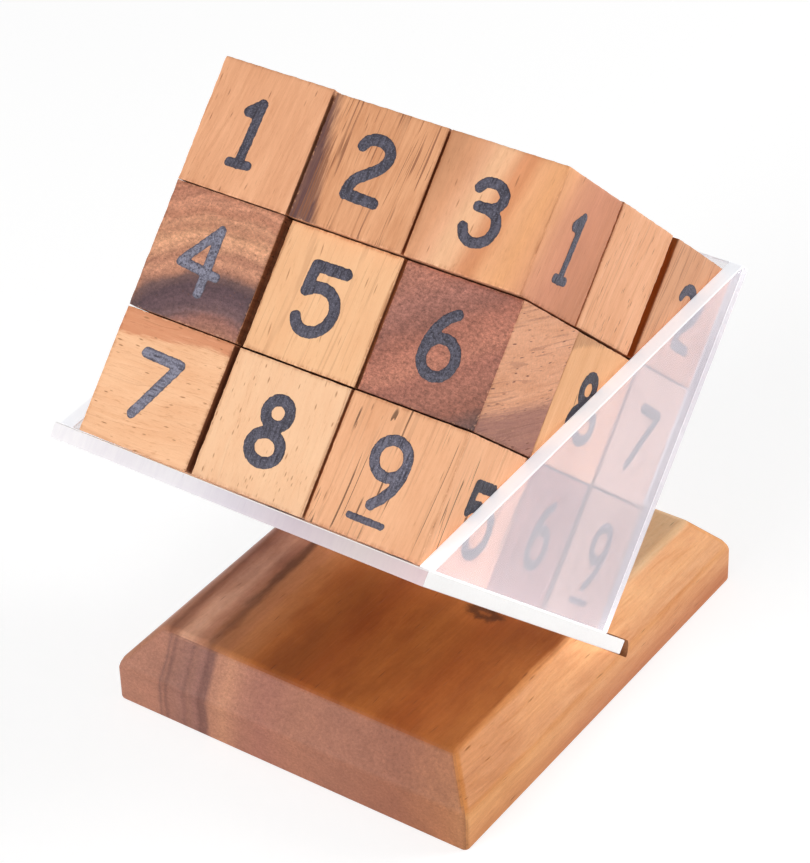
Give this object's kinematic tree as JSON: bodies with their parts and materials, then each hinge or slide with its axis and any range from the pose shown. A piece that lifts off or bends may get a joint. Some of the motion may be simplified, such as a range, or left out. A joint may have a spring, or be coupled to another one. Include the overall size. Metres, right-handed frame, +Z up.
{
  "type": "sudoku cube puzzle",
  "caption": "Block of loose wooden number cubes leaning in a tilted clear tray that stands in a groove of a chamfered wooden base; each cube lifts out.",
  "frame": {"origin": "middle of the base's underside", "axes": "+Z up; +X along the rows of numbers, to the right seen from the numbered front; +Y to the back, so the front looks towards -Y and upwards"},
  "size_m": [0.084, 0.114, 0.1287],
  "materials": {
    "base_wood": "sanded and oiled hardwood, satin",
    "pale_wood": "sanded sapwood, satin",
    "tan_wood": "sanded hardwood, satin",
    "dark_wood": "sanded heartwood, satin",
    "clear_sheet": "clear cast acrylic sheet, sawn edges"
  },
  "bodies": {
    "stand": {"base": "base_wood", "floor_plate": "clear_sheet", "back_plate": "clear_sheet", "left_plate": "clear_sheet", "right_plate": "clear_sheet"},
    "cube_front_low_left": {"cube_front_low_left": "pale_wood"},
    "cube_front_low_centre": {"cube_front_low_centre": "pale_wood"},
    "cube_front_low_right": {"cube_front_low_right": "tan_wood"},
    "cube_front_mid_left": {"cube_front_mid_left": "dark_wood"},
    "cube_front_mid_centre": {"cube_front_mid_centre": "pale_wood"},
    "cube_front_mid_right": {"cube_front_mid_right": "dark_wood"},
    "cube_front_top_left": {"cube_front_top_left": "tan_wood"},
    "cube_front_top_centre": {"cube_front_top_centre": "tan_wood"},
    "cube_front_top_right": {"cube_front_top_right": "pale_wood"},
    "cube_middle_low_left": {"cube_middle_low_left": "tan_wood"},
    "cube_middle_low_centre": {"cube_middle_low_centre": "pale_wood"},
    "cube_middle_low_right": {"cube_middle_low_right": "dark_wood"},
    "cube_middle_mid_left": {"cube_middle_mid_left": "pale_wood"},
    "cube_middle_mid_centre": {"cube_middle_mid_centre": "tan_wood"},
    "cube_middle_mid_right": {"cube_middle_mid_right": "pale_wood"},
    "cube_middle_top_left": {"cube_middle_top_left": "dark_wood"},
    "cube_middle_top_centre": {"cube_middle_top_centre": "pale_wood"},
    "cube_middle_top_right": {"cube_middle_top_right": "pale_wood"},
    "cube_back_low_left": {"cube_back_low_left": "tan_wood"},
    "cube_back_low_centre": {"cube_back_low_centre": "dark_wood"},
    "cube_back_low_right": {"cube_back_low_right": "tan_wood"},
    "cube_back_mid_left": {"cube_back_mid_left": "pale_wood"},
    "cube_back_mid_centre": {"cube_back_mid_centre": "tan_wood"},
    "cube_back_mid_right": {"cube_back_mid_right": "pale_wood"},
    "cube_back_top_left": {"cube_back_top_left": "pale_wood"},
    "cube_back_top_centre": {"cube_back_top_centre": "tan_wood"},
    "cube_back_top_right": {"cube_back_top_right": "tan_wood"}
  },
  "joints": [
    {"name": "lift_back_low_left", "type": "slide", "parent": "stand", "child": "cube_back_low_left", "axis": [0, -0.7373, 0.6756], "range_m": [0, 0.08]},
    {"name": "lift_middle_low_left", "type": "slide", "parent": "cube_back_low_left", "child": "cube_middle_low_left", "axis": [0, -0.7373, 0.6756], "range_m": [0, 0.055]},
    {"name": "lift_front_low_left", "type": "slide", "parent": "cube_middle_low_left", "child": "cube_front_low_left", "axis": [0, -0.7373, 0.6756], "range_m": [0, 0.03]},
    {"name": "lift_back_low_centre", "type": "slide", "parent": "stand", "child": "cube_back_low_centre", "axis": [0, -0.7373, 0.6756], "range_m": [0, 0.08]},
    {"name": "lift_middle_low_centre", "type": "slide", "parent": "cube_back_low_centre", "child": "cube_middle_low_centre", "axis": [0, -0.7373, 0.6756], "range_m": [0, 0.055]},
    {"name": "lift_front_low_centre", "type": "slide", "parent": "cube_middle_low_centre", "child": "cube_front_low_centre", "axis": [0, -0.7373, 0.6756], "range_m": [0, 0.03]},
    {"name": "lift_back_low_right", "type": "slide", "parent": "stand", "child": "cube_back_low_right", "axis": [0, -0.7373, 0.6756], "range_m": [0, 0.08]},
    {"name": "lift_middle_low_right", "type": "slide", "parent": "cube_back_low_right", "child": "cube_middle_low_right", "axis": [0, -0.7373, 0.6756], "range_m": [0, 0.055]},
    {"name": "lift_front_low_right", "type": "slide", "parent": "cube_middle_low_right", "child": "cube_front_low_right", "axis": [0, -0.7373, 0.6756], "range_m": [0, 0.03]},
    {"name": "lift_back_mid_left", "type": "slide", "parent": "stand", "child": "cube_back_mid_left", "axis": [0, -0.7373, 0.6756], "range_m": [0, 0.08]},
    {"name": "lift_middle_mid_left", "type": "slide", "parent": "cube_back_mid_left", "child": "cube_middle_mid_left", "axis": [0, -0.7373, 0.6756], "range_m": [0, 0.055]},
    {"name": "lift_front_mid_left", "type": "slide", "parent": "cube_middle_mid_left", "child": "cube_front_mid_left", "axis": [0, -0.7373, 0.6756], "range_m": [0, 0.03]},
    {"name": "lift_back_mid_centre", "type": "slide", "parent": "stand", "child": "cube_back_mid_centre", "axis": [0, -0.7373, 0.6756], "range_m": [0, 0.08]},
    {"name": "lift_middle_mid_centre", "type": "slide", "parent": "cube_back_mid_centre", "child": "cube_middle_mid_centre", "axis": [0, -0.7373, 0.6756], "range_m": [0, 0.055]},
    {"name": "lift_front_mid_centre", "type": "slide", "parent": "cube_middle_mid_centre", "child": "cube_front_mid_centre", "axis": [0, -0.7373, 0.6756], "range_m": [0, 0.03]},
    {"name": "lift_back_mid_right", "type": "slide", "parent": "stand", "child": "cube_back_mid_right", "axis": [0, -0.7373, 0.6756], "range_m": [0, 0.08]},
    {"name": "lift_middle_mid_right", "type": "slide", "parent": "cube_back_mid_right", "child": "cube_middle_mid_right", "axis": [0, -0.7373, 0.6756], "range_m": [0, 0.055]},
    {"name": "lift_front_mid_right", "type": "slide", "parent": "cube_middle_mid_right", "child": "cube_front_mid_right", "axis": [0, -0.7373, 0.6756], "range_m": [0, 0.03]},
    {"name": "lift_back_top_left", "type": "slide", "parent": "stand", "child": "cube_back_top_left", "axis": [0, -0.7373, 0.6756], "range_m": [0, 0.08]},
    {"name": "lift_middle_top_left", "type": "slide", "parent": "cube_back_top_left", "child": "cube_middle_top_left", "axis": [0, -0.7373, 0.6756], "range_m": [0, 0.055]},
    {"name": "lift_front_top_left", "type": "slide", "parent": "cube_middle_top_left", "child": "cube_front_top_left", "axis": [0, -0.7373, 0.6756], "range_m": [0, 0.03]},
    {"name": "lift_back_top_centre", "type": "slide", "parent": "stand", "child": "cube_back_top_centre", "axis": [0, -0.7373, 0.6756], "range_m": [0, 0.08]},
    {"name": "lift_middle_top_centre", "type": "slide", "parent": "cube_back_top_centre", "child": "cube_middle_top_centre", "axis": [0, -0.7373, 0.6756], "range_m": [0, 0.055]},
    {"name": "lift_front_top_centre", "type": "slide", "parent": "cube_middle_top_centre", "child": "cube_front_top_centre", "axis": [0, -0.7373, 0.6756], "range_m": [0, 0.03]},
    {"name": "lift_back_top_right", "type": "slide", "parent": "stand", "child": "cube_back_top_right", "axis": [0, -0.7373, 0.6756], "range_m": [0, 0.08]},
    {"name": "lift_middle_top_right", "type": "slide", "parent": "cube_back_top_right", "child": "cube_middle_top_right", "axis": [0, -0.7373, 0.6756], "range_m": [0, 0.055]},
    {"name": "lift_front_top_right", "type": "slide", "parent": "cube_middle_top_right", "child": "cube_front_top_right", "axis": [0, -0.7373, 0.6756], "range_m": [0, 0.03]}
  ]
}
